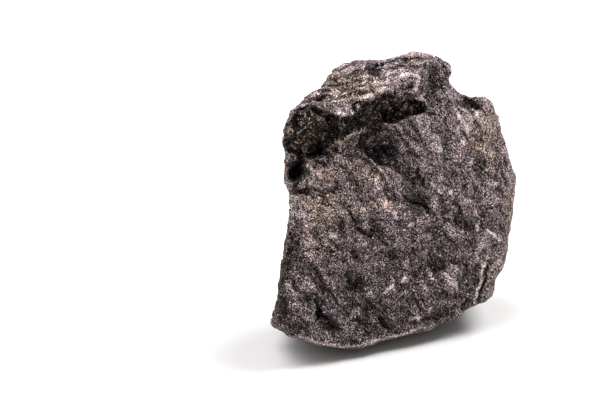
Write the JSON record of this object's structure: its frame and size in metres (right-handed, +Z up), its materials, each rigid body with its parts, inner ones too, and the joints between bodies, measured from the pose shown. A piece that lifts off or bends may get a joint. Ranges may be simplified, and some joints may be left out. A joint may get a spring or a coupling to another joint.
{
  "type": "rough rock",
  "caption": "Upright block of dark, fine-grained stone with a broad broken face, a jutting slabby ledge at the upper left and a small broken flat to stand on.",
  "frame": {"origin": "middle of the rock's outer box, on the surface that it stands on", "axes": "+X to the right along the broad face, +Y from the broad face to the back, +Z up"},
  "size_m": [0.1024, 0.0538, 0.1033],
  "materials": {
    "stone": "rough broken surface, matt, with fine pale glints"
  },
  "bodies": {
    "root": {"rock": "stone"}
  },
  "joints": []
}
